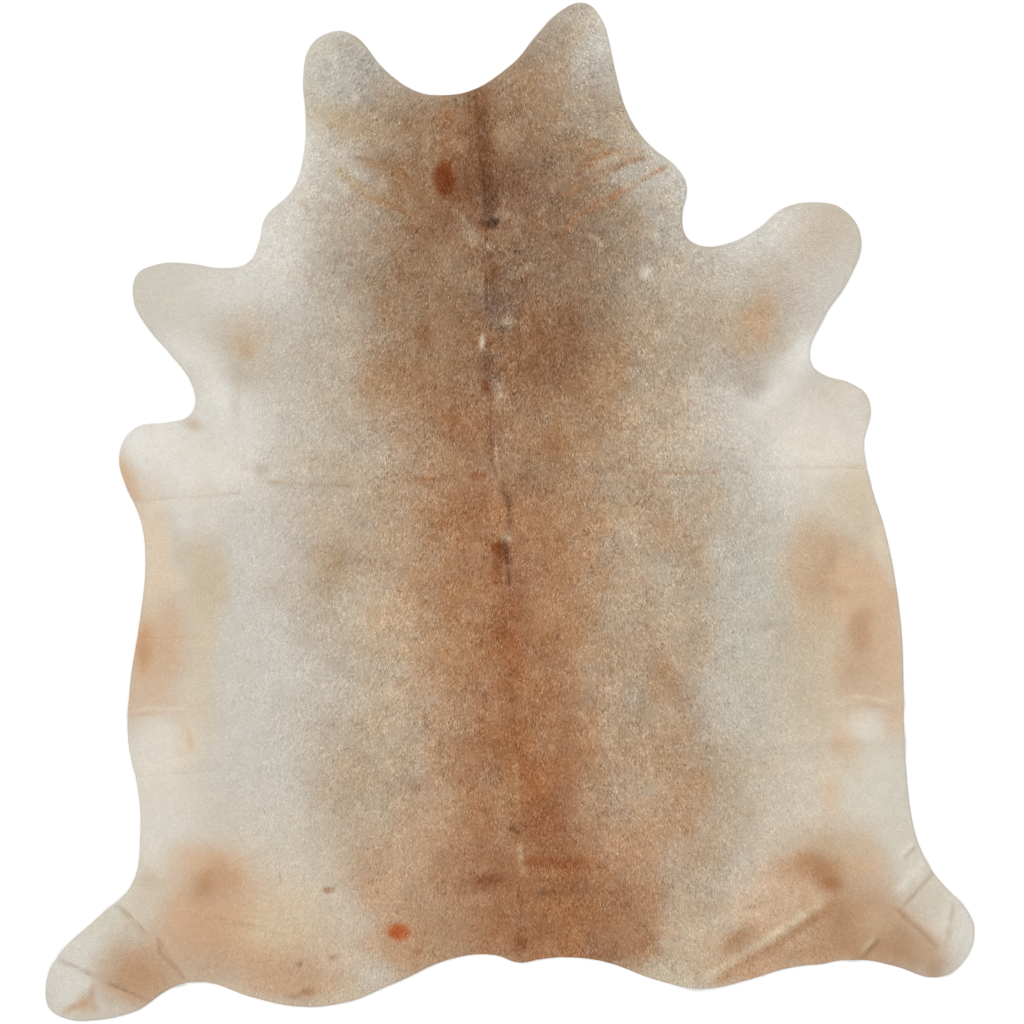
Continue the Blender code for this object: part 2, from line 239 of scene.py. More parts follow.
    (-47, -799, 35, 17, "rust", 0.6, 1.2, 8), (104, -758, 78, 13, "russet", 0.85, 1.4, -2),
    (138, -810, 39, 17, "umber", 0.6, 1.2, -3), (242, -700, 52, 47, "tan", 0.45),
    # hind legs
    (-356, -892, 56, 65, "silver", 0.8), (-242, -941, 43, 52, "tan", 0.6),
    (-291, -1000, 65, 47, "ivory", 0.7, 1, 30), (-582, -903, 190, 99, "apricot", 0.9, 1.4, -12),
    (-647, -980, 65, 43, "fawn", 0.35), (-522, -913, 56, 35, "sand", 0.6), (-470, -870, 86, 65, "sand", 0.75),
    (-440, -1017, 99, 47, "tan", 0.75, 1.1, -8), (-220, -946, 56, 47, "tan", 0.9),
    (-345, -1045, 39, 26, "sand", 0.6), (-651, -799, 32, 43, "tan", 0.85, 1.2, -32),
    (-651, -793, 17, 32, "hazel", 0.55, 1.2, -32), (-604, -788, 30, 24, "apricot", 0.5, 1.1),
    (-656, -799, 6, 11, "brown", 0.4, 1.2), (-658, -752, 78, 30, "peach", 0.8),
    (-807, -998, 99, 65, "tan", 1, 1.2, -14), (-949, -1010, 56, 78, "pearl", 0.9, 1.3, 20),
    (-867, -870, 56, 129, "ivory", 1, 1.3, -58), (-917, -1062, 15, 17, "tan", 0.7),
    (-919, -941, 43, 30, "pearl", 0.7), (399, -838, 69, 95, "khaki", 0.85, 1.1),
    (384, -963, 78, 56, "beige", 0.9, 1.2), (375, -640, 43, 91, "tan", 0.75),
    (267, -941, 43, 47, "hazel", 0.75), (690, -907, 224, 78, "tan", 1, 1.5, 8),
    (507, -985, 73, 30, "tan", 0.8, 1.1, 15), (556, -834, 86, 52, "peach", 0.7, 1.1, 28),
    (703, -769, 91, 65, "tan", 0.9, 1.1), (666, -765, 37, 28, "brown", 0.95, 1.2),
    (692, -803, 26, 19, "brown", 0.95, 1.3, -20), (608, -771, 47, 30, "tan", 0.7),
    (707, -903, 60, 39, "hazel", 0.4), (841, -933, 56, 30, "hazel", 0.6, 1, -10),
    (669, -946, 65, 22, "hazel", 0.45, 1, 8), (716, -885, 17, 56, "hazel", 0.4, 1, -10),
    (625, -911, 39, 22, "beige", 0.4, 1, 20), (768, -756, 30, 26, "peach", 0.5, 1.1),
    (490, -926, 37, 26, "hazel", 0.75, 1.2, 35), (751, -950, 19, 15, "hazel", 0.7, 1.1, -30),
    (852, -946, 82, 47, "hazel", 0.65, 1.1, -14), (845, -730, 35, 95, "ivory", 0.75, 1.1, 24),
    (966, -885, 47, 95, "pearl", 0.95, 1.5, 14), (902, -827, 43, 73, "ivory", 0.85, 1.1, 40),
    (897, -838, 35, 56, "cream", 0.6, 1.2, 38), (893, -842, 35, 35, "stone", 0.5),
    (919, -987, 19, 24, "hazel", 0.8, 1.1), (332, -1002, 35, 26, "stone", 0.7),
    (955, -1002, 30, 26, "silver", 0.7), (794, -894, 39, 30, "beige", 0.55),
    (893, -937, 35, 30, "beige", 0.5, 1, -20), (686, -730, 52, 22, "beige", 0.6),
    # spots and flecks
    (-140, 714, 22, 37, "rust", 1, 2.4, 8), (43, 775, 99, 121, "dun", 0.24, 1.3),
    (134, 594, 99, 82, "dun", 0.28, 1.3), (220, 409, 69, 82, "dun", 0.22, 1.2),
    (375, -635, 30, 47, "hazel", 0.4), (-194, -944, 35, 28, "hazel", 0.5), (-608, -786, 30, 26, "tan", 0.6),
    (-919, -1088, 26, 17, "oat", 0.45), (-427, 146, 52, 26, "ivory", 0.38), (-91, 301, 30, 30, "umber", 0.25),
    (-298, -993, 32, 26, "ivory", 0.38), (349, -36, 26, 52, "fawn", 0.55, 1, 38),
    (-142, -631, 30, 30, "beige", 0.42), (-815, -394, 15, 56, "rose", 0.55, 1.2),
    (427, -217, 30, 30, "grey", 0.42), (-298, 819, 32, 32, "dun", 0.25), (-388, 20, 69, 65, "tan", 0.2),
    (-211, 59, 56, 43, "tan", 0.28), (-52, -53, 82, 86, "brown", 0.34), (280, -135, 60, 56, "tan", 0.3),
    (-772, -415, 56, 28, "rose", 0.5, 1.1), (-738, -191, 39, 32, "rose", 0.32),
    (-293, -583, 112, 60, "tan", 0.2), (-129, -489, 39, 39, "tan", 0.3), (173, -721, 32, 56, "brown", 0.28),
    (168, -553, 30, 47, "tan", 0.42), (738, -734, 32, 32, "oat", 0.45), (375, 611, 32, 30, "silver", 0.3),
    (-625, -803, 82, 28, "apricot", 0.24), (-125, -808, 43, 39, "brown", 0.2),
    (-526, -1028, 65, 26, "apricot", 0.38), (267, -946, 32, 28, "brown", 0.42),
    (725, -946, 125, 32, "tan", 0.24), (492, 366, 39, 30, "tan", 0.24), (569, 517, 35, 28, "oat", 0.3),
    (104, 991, 28, 43, "ash", 0.32), (-22, 870, 56, 82, "dun", 0.2), (-9, 590, 56, 35, "dun", 0.26),
    (-237, 547, 91, 65, "dun", 0.18), (336, 482, 39, 52, "grey", 0.26), (-13, 355, 56, 37, "umber", 0.24),
    (112, -23, 35, 32, "khaki", 0.2), (65, 970, 30, 30, "dun", 0.28), (-91, 642, 35, 43, "umber", 0.4),
    (-194, -269, 32, 32, "beige", 0.36), (-815, -838, 30, 30, "cream", 0.45),
    (-608, 301, 35, 35, "stone", 0.26), (375, -476, 30, 32, "hazel", 0.26),
    (-39, -734, 30, 30, "russet", 0.28), (582, -269, 24, 86, "stone", 0.65, 1.1),
    (483, 297, 35, 26, "grey", 0.4), (-272, -450, 47, 43, "khaki", 0.42, 1, -40),
    (-401, -10, 32, 28, "beige", 0.45), (427, -10, 30, 32, "khaki", 0.45), (738, 249, 28, 28, "pearl", 0.5),
    (220, -476, 35, 32, "beige", 0.42), (738, -424, 32, 32, "rose", 0.4), (-246, -113, 32, 32, "beige", 0.38),
    (-660, 197, 32, 32, "pearl", 0.5), (-505, -165, 30, 30, "khaki", 0.35),
    (-764, -734, 32, 32, "pearl", 0.55), (65, -890, 32, 32, "umber", 0.3),
    (-119, -256, 56, 155, "tan", 0.3, 1.2), (-43, 652, 19, 32, "dark", 0.3, 1.1),
    (-298, -838, 30, 30, "tan", 0.3), (582, 301, 30, 30, "ash", 0.4), (324, -372, 30, 32, "hazel", 0.3),
    (427, -890, 30, 24, "oat", 0.5), (324, -998, 39, 28, "oat", 0.65), (-332, 81, 52, 43, "oat", 0.5),
    (-289, 40, 39, 30, "beige", 0.55), (69, 94, 47, 35, "taupe", 0.6), (-43, 96, 35, 26, "taupe", 0.5),
    (-9, -657, 26, 73, "fawn", 0.45, 1.1), (-41, -581, 26, 26, "fawn", 0.45),
    (116, -169, 60, 39, "apricot", 0.26), (-298, 297, 39, 35, "hazel", 0.42),
    (185, 197, 47, 30, "taupe", 0.4), (-660, 197, 39, 35, "pearl", 0.6), (-293, 819, 30, 30, "fawn", 0.5),
    (173, 879, 35, 43, "fawn", 0.4), (-242, -909, 24, 17, "copper", 1, 2.4),
    (-393, -816, 11, 6, "hazel", 0.85, 1.6), (-453, -978, 6, 6, "umber", 0.55, 1.2),
    (-425, -995, 9, 13, "gold", 0.6, 1.2), (-382, -963, 11, 6, "hazel", 0.6, 1.2),
    (-436, -1036, 13, 6, "brown", 0.7, 1.2), (-466, -1045, 15, 4, "hazel", 0.5, 1.2),
    (-198, -950, 9, 6, "russet", 0.5, 1.2), (-214, 607, 13, 9, "russet", 0.4, 1.1),
    (-334, 892, 6, 9, "cream", 0.6, 1.2), (-395, 678, 9, 6, "cream", 0.6, 1.2),
    (-425, 693, 9, 6, "cream", 0.5, 1.2), (311, 594, 15, 9, "cream", 0.55, 1.1, -30),
    (-52, 271, 9, 13, "rust", 0.95, 1.4, 15), (293, 514, 15, 13, "cream", 0.75, 1.3),
    (-60, 366, 5, 15, "cream", 0.7, 1.4, -6), (-6, 409, 11, 9, "sand", 0.6, 1.2),
    (-82, 590, 9, 17, "stone", 0.45, 1, 40), (-19, 648, 11, 11, "stone", 0.45),
    (19, 706, 28, 32, "umber", 0.85, 1.1, 12), (-183, 383, 19, 26, "umber", 0.7, 1.1),
    (-203, -590, 22, 15, "umber", 0.4), (552, -245, 13, 9, "grey", 0.6),
    (-533, 90, 17, 13, "grey", 0.45, 1.2), (522, 275, 30, 26, "grey", 0.6, 1.2, -30),
    (-591, 245, 11, 56, "stone", 0.35, 1.1), (-682, 189, 17, 11, "beige", 0.6, 1.1, -20),
    (302, -601, 13, 9, "grey", 0.6), (-15, -74, 10, 14, "dark", 0.85, 1.3),
    (-28, -79, 9, 13, "rust", 0.8, 1.2), (-6, -55, 12, 9, "grey", 0.5, 1.2),
    # whorl at the withers
    (-43, 665, 13, 17, "dark", 0.9, 1.4), (-39, 624, 22, 11, "soot", 0.95, 1.6),
    (-95, 676, 28, 43, "umber", 0.45), (-15, 670, 6, 13, "stone", 0.4, 1.2, -20),
    (-11, 806, 19, 30, "fawn", 0.6),
)

# Lines in the coat: partings, creases and wrinkles, each with its half width, its colour, its strength and
# the points that it runs through. Along the folds and wrinkles they also carry painted light and shade: pale
# lines on crests and banks are painted highlight, darker lines in valleys and on the far sides of crests are
# painted shade.
LINES = (
    # line of the spine
    (24.8, "umber", 0.9, -58, 926, -56, 844, -56, 780, -50, 715, -41, 642),
    (15.1, "umber", 0.75, -45, 788, -41, 715, -39, 637),
    (10.8, "dark", 0.62, -56, 888, -56, 814, -50, 758, -43, 637),
    (10.8, "umber", 0.4, -82, 913, -78, 780, -73, 724),
    (3.5, "dark", 0.65, -75, 916, -71, 844, -65, 780, -56, 715, -52, 624, -50, 564),
    (4.7, "russet", 0.55, -58, 620, -60, 590), (4.3, "stone", 0.55, -43, 590, -47, 573, -43, 547),
    (3.9, "dark", 0.6, -45, 568, -43, 536), (12.9, "dark", 0.6, -37, 547, -35, 465, -39, 409),
    (2.8, "dark", 0.65, -50, 538, -52, 422), (5.2, "dark", 0.8, -56, 391, -22, 394, -2, 385),
    (10.8, "dark", 0.5, -50, 350, -50, 318, -52, 275),
    (3.2, "umber", 0.65, -45, 292, -41, 240, -41, 154, -39, 77),
    (9.7, "sand", 0.22, -28, 292, -22, 251, -13, 206), (2.6, "sand", 0.45, -32, 167, -28, 107, -17, 59),
    (5.6, "umber", 0.85, -17, 77, -11, 25), (6.5, "dark", 0.66, -9, 51, -2, -1, 4, -49),
    (6, "dark", 0.85, -9, -74, -4, -122), (2.4, "dark", 0.7, -4, -113, 0, -169),
    (9.7, "rust", 0.7, -28, -66, -24, -96, -19, -152), (2.6, "beige", 0.45, -15, -105, -15, -161),
    (3.2, "umber", 0.5, -15, -165, -13, -331), (2.4, "beige", 0.4, -6, -174, -6, -264),
    (11.9, "russet", 0.55, -4, -178, 0, -320, 2, -497), (4.7, "tan", 0.65, 9, -514, 17, -622, 22, -678),
    (5.6, "beige", 0.55, 22, -704, 22, -752, 35, -795), (3.9, "dark", 0.8, -4, -680, 9, -687, 26, -696),
    (5.2, "umber", 0.5, 22, -795, 24, -950),
    # nape
    (9.7, "brown", 0.45, -136, 905, -136, 836), (17.3, "brown", 0.6, -136, 877, -136, 758),
    # wrinkles of the neck, left: the coat's own streaks, with painted highlight in the pale lines and painted
    # shade in the brown ones along the wrinkles
    (7.8, "gold", 0.8, -388, 750, -360, 728, -334, 704, -306, 683, -270, 665),
    (4.3, "brown", 0.55, -280, 668, -233, 652, -192, 627),
    (4.7, "brown", 0.66, -306, 683, -250, 655, -181, 627),
    (6, "brown", 0.6, -324, 752, -280, 745, -246, 732, -211, 724),
    (4.3, "taupe", 0.5, -354, 767, -298, 758, -233, 745), (7.3, "gold", 0.6, -349, 819, -306, 810, -255, 795),
    (8.6, "silver", 0.45, -349, 734, -298, 715, -250, 691), (6.5, "ivory", 0.45, -380, 715, -336, 678),
    (5.4, "khaki", 0.5, -289, 627, -224, 620), (5.6, "brown", 0.45, -160, 607, -95, 564),
    (4.3, "khaki", 0.5, -457, 676, -427, 642),
    # whorl
    (3.9, "stone", 0.5, -132, 659, -104, 637, -80, 603, -67, 581),
    (3.5, "stone", 0.5, -32, 611, -13, 629, 9, 655), (3.9, "stone", 0.3, 56, 629, 75, 655, 93, 670),
    (3.2, "stone", 0.45, 13, 514, 47, 536),
    # wrinkles of the neck, right: the coat's own streaks, with painted highlight in the pale lines and
    # painted shade in the brown and tan ones along the wrinkles
    (4.7, "tan", 0.8, 349, 752, 306, 726, 259, 700, 198, 665),
    (7.3, "brown", 0.7, 255, 700, 198, 665, 142, 637, 108, 586),
    (5.2, "brown", 0.6, 302, 767, 242, 747, 194, 721, 151, 698, 99, 672),
    (4.7, "brown", 0.65, 233, 782, 194, 767, 138, 730), (5.2, "brown", 0.5, 207, 799, 181, 793, 155, 780),
    (5.2, "tan", 0.45, 298, 784, 229, 771, 164, 756), (5.6, "tan", 0.5, 280, 765, 194, 754, 134, 732),
    (6.5, "gold", 0.55, 246, 851, 198, 834), (7.8, "ash", 0.65, 311, 754, 250, 730, 203, 706),
    (6, "ash", 0.55, 246, 769, 207, 754, 177, 739), (5.2, "grey", 0.4, 198, 819, 160, 806),
    (4.3, "fawn", 0.6, 233, 640, 181, 618), (5.2, "sand", 0.6, 162, 601, 190, 586, 209, 562),
    # crease across the belly: painted shade in the fold's valley, partly a parting of the hair, with paler
    # lines beside it as painted highlight on its banks
    (3, "beige", 0.28, -820, 23, -744, 27, -669, 31, -574, 40),
    (3.2, "fawn", 0.5, -535, 64, -431, 59, -324, 55, -164, 40), (6.5, "russet", 0.85, -95, 77, -43, 81),
    (6, "brown", 0.65, -224, 68, -151, 70, -69, 74), (3.5, "brown", 0.5, -181, 42, -35, 36),
    (3.2, "brown", 0.4, -160, -40, -52, -36), (3, "brown", 0.36, 194, 87, 280, 83, 367, 83, 466, 85),
    (7.3, "beige", 0.45, 242, 94, 324, 96, 418, 96), (3, "oat", 0.24, 410, 94, 625, 94, 772, 98),
    # folds of the hind legs and flanks: pale lines on the crests are painted highlight, darker lines beside
    # them and along the valleys are painted shade; the others are the coat's own colour
    # painted highlight along the crest of the right rump fold, and painted shade in the brown line below it
    (10.8, "sand", 0.75, 410, -1013, 485, -965, 561, -918, 625, -875, 686, -836),
    (8.6, "brown", 0.5, 436, -1021, 496, -980, 582, -929, 651, -879, 716, -829),
    (3, "fawn", 0.55, 483, -866, 539, -847, 597, -827), (6.5, "stone", 0.4, 302, -935, 518, -892),
    # painted highlight in the cream, white and sand lines on the crests of the right shank, a short fold and
    # the hock; painted shade in the taupe, khaki and umber lines beside them and in the hazel line along the
    # heel's valley
    (9.9, "cream", 0.8, 826, -831, 858, -799, 906, -754),
    (3.7, "taupe", 0.4, 841, -860, 874, -823, 923, -767), (4.3, "white", 0.6, 841, -745, 874, -711),
    (2.8, "khaki", 0.7, 848, -750, 880, -717), (4.7, "sand", 0.6, 748, -961, 768, -937, 794, -909),
    (4.3, "umber", 0.42, 757, -967, 781, -941, 805, -916),
    (5.6, "hazel", 0.6, 824, -844, 852, -875, 889, -905, 930, -950),
    (4.7, "khaki", 0.55, 958, -834, 949, -892, 938, -954),
    # painted highlight in the blush and cream lines on the crests of the belly ripples and the right haunch,
    # painted shade in the tan lines below the ripples
    (2.8, "blush", 0.8, 712, -400, 772, -400, 837, -417),
    (2.2, "cream", 0.3, 729, -486, 772, -486, 824, -486), (2.4, "tan", 0.25, 759, -413, 798, -420, 841, -435),
    (2.6, "cream", 0.55, -820, -430, -776, -424, -686, -424),
    (2.4, "tan", 0.28, -824, -441, -787, -437, -748, -437),
    (5.2, "rose", 0.55, -697, -458, -690, -489, -686, -527),
    # painted shade along the valley of the left shank; the brown, khaki and umber lines below run along the
    # valleys of the left heel and toe, also painted shade
    (2.8, "hazel", 0.55, -850, -844, -809, -883, -774, -922),
    (19.4, "beige", 0.45, -759, -769, -796, -834, -828, -894, -871, -972, -889, -1021),
    (3.5, "brown", 0.5, -761, -909, -755, -950, -729, -978, -695, -1015),
    (3.2, "khaki", 0.5, -981, -963, -927, -985, -874, -1010),
    (3.2, "umber", 0.32, -878, -1010, -828, -1034, -772, -1058),
    (5.6, "tan", 0.6, -893, -1004, -904, -1043, -889, -1090),
    (6.9, "tan", 0.65, -910, -1056, -945, -1071, -975, -1090),
    # painted shade along the valley of the left rump fold
    (2.8, "fawn", 0.35, -658, -870, -615, -879, -569, -890, -513, -900),
    (2.8, "khaki", 0.55, -498, -765, -494, -814),
    # sweeps over the right ribs
    (12.9, "stone", 0.3, 194, 25, 410, -277), (12.9, "fawn", 0.4, 280, 90, 410, -105),
)

# Where the coat is short, sleek and of one colour: middle, half sizes across and along, turn, and how much.
SLEEK = (
    ("brisket, left", -790, 115, 150, 110, 8, 1.0),
    ("brisket, right", 700, 180, 130, 120, -8, 1.0),
    ("armpit, left", -625, 240, 60, 110, 25, 0.7),
    ("armpit, right", 595, 290, 50, 120, -38, 0.8),
    ("belly, left", -790, -560, 90, 170, 0, 0.6),
    ("belly, right", 810, -560, 90, 170, 0, 0.5),
    ("rump, left", -280, -860, 300, 220, 0, 0.34),
    ("thigh, right", 730, -900, 150, 110, 0, -0.6),
    ("shank, left", -790, -1000, 140, 90, 0, -1.6),
    ("rump, right", 330, -920, 130, 160, 0, 0.16),
)

# Where the knife ran inside the solid's rim, or outside it: middle, reach, and how far in.
KNIFE = (
    ("hoof, left rear", -945, -922, 52, 4.5),
    ("hoof, left shank", -897, -879, 35, 1.7),
    ("cheek, right inner", 24, 989, 39, 4.1),
    ("cheek, right front", 78, 1054, 56, 1.9),
    ("brisket, left", -824, 42, 39, 3.2),
    ("fore hoof, left", -815, 491, 30, 3),
    ("fore hoof, left front", -776, 530, 30, 1.1),
    ("armpit, left", -703, 202, 30, 2.8),
    ("thigh, right", 569, -993, 43, 2.6),
    ("flank, left", -802, -247, 73, 2.6),
    ("nape, left", -164, 900, 47, 2.8),
    ("nape, middle", -104, 903, 39, 0.6),
    ("shank, right", 822, -980, 73, 2.2),
    ("hoof, left sole", -839, -1090, 32, 1.7),
    ("rump", -65, -957, 73, 1.7),
    ("hoof, left toe", -992, -1075, 30, -4.5),
    ("fore leg, right", 673, 407, 26, -3.5),
    ("brisket, right", 766, 258, 24, -3.7),
    ("thigh, right rear", 673, -976, 28, -3.7),
    ("belly, right", 858, -597, 60, -2.6),
    ("flank, right", 847, -283, 50, -1.4),
    ("hip, left", -330, -1050, 40, -2.0),
    ("seat, left", 60, -970, 30, -0.8),
    ("fore leg, left", -699, 294, 30, -2.0),
    ("hoof, left crease", -744, -1039, 26, -1.6),
    ("cheek, right tip", 220, 991, 24, -1.6),
)

# Lie of the hair: round each point the hair turns towards a heading, in degrees anticlockwise from +X.
LIES = (
    ("fore leg, right", 650, 560, 190, 25, 2.0),
    ("fore leg, left", -760, 450, 190, 158, 2.0),
    ("brisket, right", 760, 170, 150, -15, 1.6),
    ("brisket, left", -800, 110, 150, 195, 1.6),
    ("hind leg, right", 830, -860, 220, -42, 1.8),
    ("hind leg, left", -850, -900, 240, -140, 1.8),
    ("flank swirl, right", 760, -480, 120, 10, 1.0),
    ("flank swirl, left", -760, -500, 120, 175, 1.0),
    ("cheek, left", -380, 900, 150, -165, 0.8),
    ("cheek, right", 200, 960, 150, -15, 0.8),
)


# ---------------------------------------------------------------- fields over the rug
def smooth(t):
    """0 to 1 with level ends: 3t^2 - 2t^3."""
    t = np.clip(t, 0.0, 1.0)
    return t * t * (3.0 - 2.0 * t)


def lift(x, y):
    """Height of the resting side, mm: the sum of the folds. A fold's section is (1 - s)^1.6 for a ridge,
    and s/0.4 x ((1 - s)/0.6)^1.5 for the two low banks of a valley, where s is the distance to its line in
    reaches. It fades in and out over a quarter of its length."""
    total = np.zeros_like(x)
    for _, form, x0, y0, x1, y1, height, reach in FOLDS:
        length = math.hypot(x1 - x0, y1 - y0)
        ux, uy = (x1 - x0) / length, (y1 - y0) / length
        travel = (x - x0) * ux + (y - y0) * uy
        side = np.abs((y - y0) * ux - (x - x0) * uy) / reach
        inside = np.clip(1.0 - side, 0.0, 1.0)
        section = inside ** 1.6 if form == "ridge" else side / 0.4 * (inside / 0.6) ** 1.5
        total += height * section * smooth(np.minimum(travel, length - travel) / (0.25 * length))
    return total


def noise(x, y, size, seed):
    """Smooth random field, -1 to 1: a random number at each corner of a square lattice, and eased between."""
    u, v = x / size, y / size
    i, j = np.floor(u).astype(np.int64), np.floor(v).astype(np.int64)
    fu, fv = smooth(u - i), smooth(v - j)

    def corner(a, b):
        h = (i + a) * 73856093 ^ (j + b) * 19349663 ^ (seed * 83492791)
        h = (h ^ (h >> 13)) * 1274126177
        return ((h ^ (h >> 16)) & 0xFFFF) / 32767.5 - 1.0

    low = corner(0, 0) * (1 - fu) + corner(1, 0) * fu
    high = corner(0, 1) * (1 - fu) + corner(1, 1) * fu
    return low * (1 - fv) + high * fv


def cloud(x, y, size, seed):
    """Sum of three noise fields, each turned further, half the size and 0.55 of the strength of the last."""
    total = np.zeros_like(x)
    for k in range(3):
        c, s = math.cos(0.6 + 1.1 * k), math.sin(0.6 + 1.1 * k)
        total += 0.55 ** k * noise(x * c - y * s, x * s + y * c, size / 2 ** k, seed + 17 * k)
    return total


def ring(x, y, px, py, across, along, turn):
    """Squared distance from a middle in half sizes, across and along, of an oval turned by degrees."""
    t = math.radians(turn)
    dx, dy = x - px, y - py
    return (((dx * math.cos(t) + dy * math.sin(t)) / across) ** 2
            + ((dy * math.cos(t) - dx * math.sin(t)) / along) ** 2)


def bell(x, y, px, py, reach):
    """1 at a place, falling by e^-(distance / reach)^2."""
    return np.exp(-((x - px) ** 2 + (y - py) ** 2) / reach ** 2)


def shown(name):
    return np.array(COLOURS[name], float) / 255.0


def to_light(c):
    """Screen colour to light."""
    return np.where(c <= 0.04045, c / 12.92, ((np.maximum(c, 0.04045) + 0.055) / 1.055) ** 2.4)


def pepper(x, y):
    """How much the single hairs differ, 1 on the back: falls in a straight line from 300 to 730 mm beside
    the middle of the back to an eighth, rises along the spine of the shoulders, and is less where the coat
    is sleek and more where it is rough."""
    side = np.abs(x - 30.0 - 15.0 * smooth((300.0 - y) / 700.0))
    much = np.clip(1.0 - 0.88 * (side - 300.0) / 430.0, 0.12, 1.0)
    much = much * (1.0 + 0.35 * np.exp(-((x + 11.0) / 60.0) ** 2 - ((y - 400.0) / 260.0) ** 2))
    for _, *oval, strength in SLEEK:
        much = much * (1.0 - 0.85 * strength * 0.5 ** (ring(x, y, *oval) ** 1.5))
    return much


def beside(x, y, path, reach):
    """Which points lie within reach of a broken line, how far along it the nearest place is, the distance
    to it, and the line's length."""
    low, high = path.min(0) - reach, path.max(0) + reach
    near = np.flatnonzero((x > low[0]) & (x < high[0]) & (y > low[1]) & (y < high[1]))
    px, py = x[near], y[near]
    travel, side, run = np.zeros(len(near)), np.full(len(near), 1e6), 0.0
    for (x0, y0), (x1, y1) in zip(path[:-1], path[1:]):
        step = math.hypot(x1 - x0, y1 - y0)
        ux, uy = (x1 - x0) / step, (y1 - y0) / step
        t = np.clip((px - x0) * ux + (py - y0) * uy, 0.0, step)
        far = np.hypot(px - x0 - t * ux, py - y0 - t * uy)
        travel = np.where(far < side, run + t, travel)
        side = np.minimum(side, far)
        run += step
    return near, travel, side, run


def coat_colour(x, y):
    """Screen colour of the coat, n x 3. Starts from one colour and lays every patch over it with the weight
    strength x 2^-(r^2 crispness), r being the distance in half sizes, on places that a cloud has pushed
    about. The lines follow with the same falloff across them, then a mottle that lightens, darkens and
    warms."""
    push_x, push_y = cloud(x, y, 150, 1), cloud(x, y, 150, 2)
    fine_x, fine_y = noise(x, y, 30, 5), noise(x, y, 30, 6)
    rgb = np.ones(x.shape + (1,)) * shown("silver")
    for px, py, across, along, name, strength, *rest in PATCHES:
        crisp, turn = rest + [1, 0][len(rest):]
        size = min(across, along)
        broad, fine = min(22.0, 0.14 * size), min(7.0, 0.10 * size)
        away = ring(x + broad * push_x + fine * fine_x, y + broad * push_y + fine * fine_y, px, py,
                    across, along, turn)
        near = away < 16.0
        weight = strength * 0.5 ** away[near] ** crisp
        rgb[near] += weight[:, None] * (shown(name) - rgb[near])
    for half, name, strength, *path in LINES:
        near, travel, side, length = beside(x, y, np.reshape(path, (-1, 2)), 3.0 * half)
        side = side / half + 0.25 * noise(travel, side, 18, 31)
        ends = smooth(np.minimum(travel, length - travel) / min(25.0, 0.3 * length))
        weight = strength * ends * 0.5 ** (side * side) * (0.9 + 0.25 * noise(travel, side, 20, 33))
        rgb[near] += weight[:, None] * (shown(name) - rgb[near])
    much = 0.12 + 1.1 * pepper(x, y) ** 1.5
    mottle = much * (0.023 * cloud(x, y, 60, 11) + 0.018 * noise(x, y, 15, 12) + 0.013 * noise(x, y, 8, 14))
    warmth = much * (0.009 * noise(x, y, 34, 15) + 0.007 * cloud(x, y, 90, 16))
    return (rgb + mottle[..., None] * np.array([0.9, 1.03, 1.07])
            + warmth[..., None] * np.array([1.0, 0.0, -1.0]))


def knife_depth(x, y):
    """How far inside the solid's rim the cut edge lies: an even inset, and at each place of KNIFE its own
    depth times e^-(distance / reach)^2 more."""
    depth = np.full(x.shape, EDGE_INSET)
    for _, *place, more in KNIFE:
        depth = depth + more * bell(x, y, *place)
    return depth


def hair_heading(x, y):
    """Unit direction of the hair: back to the tail, fanning out to the flanks, turned near the LIES."""
    hx, hy = 0.42 * np.tanh(x / 480.0), -np.ones_like(y)
    for _, *place, heading, pull in LIES:
        near = pull * bell(x, y, *place)
        hx = hx + near * math.cos(math.radians(heading))
        hy = hy + near * math.sin(math.radians(heading))
    angle = np.arctan2(hy, hx) + 0.22 * cloud(x, y, 110, 21) + 0.10 * noise(x, y, 21, 24)
    return np.cos(angle), np.sin(angle)


# ---------------------------------------------------------------- outline
def cut_edge(node):
    """The outline of the solid's resting side, in order and anticlockwise, evenly spaced: the edges between
    a face that looks down and one that looks sideways."""
    bm = bmesh.new()
    bm.from_mesh(node.data)
    bm.transform(node.matrix_world)
    bmesh.ops.remove_doubles(bm, verts=bm.verts, dist=2e-6)
    rim = [e for e in bm.edges if len(e.link_faces) == 2
           and min(f.normal.z for f in e.link_faces) < -0.7
           and max(abs(f.normal.z + 1) for f in e.link_faces) > 0.5]
    touching = {}
    for e in rim:
        for v in e.verts:
            touching.setdefault(v, []).append(e)
    start = rim[0].verts[0]
    path, vert, last = [start.co[:2]], start, None
    while True:
        last = next(e for e in touching[vert] if e is not last)
        vert = last.other_vert(vert)
        if vert is start:
            break
        path.append(vert.co[:2])
    bm.free()
    loop = np.array(path) * 1000.0
    area = np.cross(loop, np.roll(loop, -1, 0)).sum() / 2
    return respaced(loop if area > 0 else loop[::-1], RIM_PITCH)


def respaced(loop, pitch):
    """A closed loop with its points moved to even steps of about pitch and eased by a 1-2-1 mean, twice."""
    for _ in range(2):
        closed = np.vstack([loop, loop[:1]])
        run = np.concatenate([[0], np.cumsum(np.hypot(*np.diff(closed, axis=0).T))])
        steps = np.linspace(0, run[-1], max(8, round(run[-1] / pitch)), endpoint=False)
        loop = np.stack([np.interp(steps, run, closed[:, k]) for k in (0, 1)], 1)
        loop = (np.roll(loop, 1, 0) + 2 * loop + np.roll(loop, -1, 0)) / 4
    return loop


def outward(loop):
    """Unit normals of a loop that runs anticlockwise."""
    along = np.roll(loop, -1, 0) - np.roll(loop, 1, 0)
    normal = np.stack([along[:, 1], -along[:, 0]], 1)
    return normal / np.linalg.norm(normal, axis=1)[:, None]


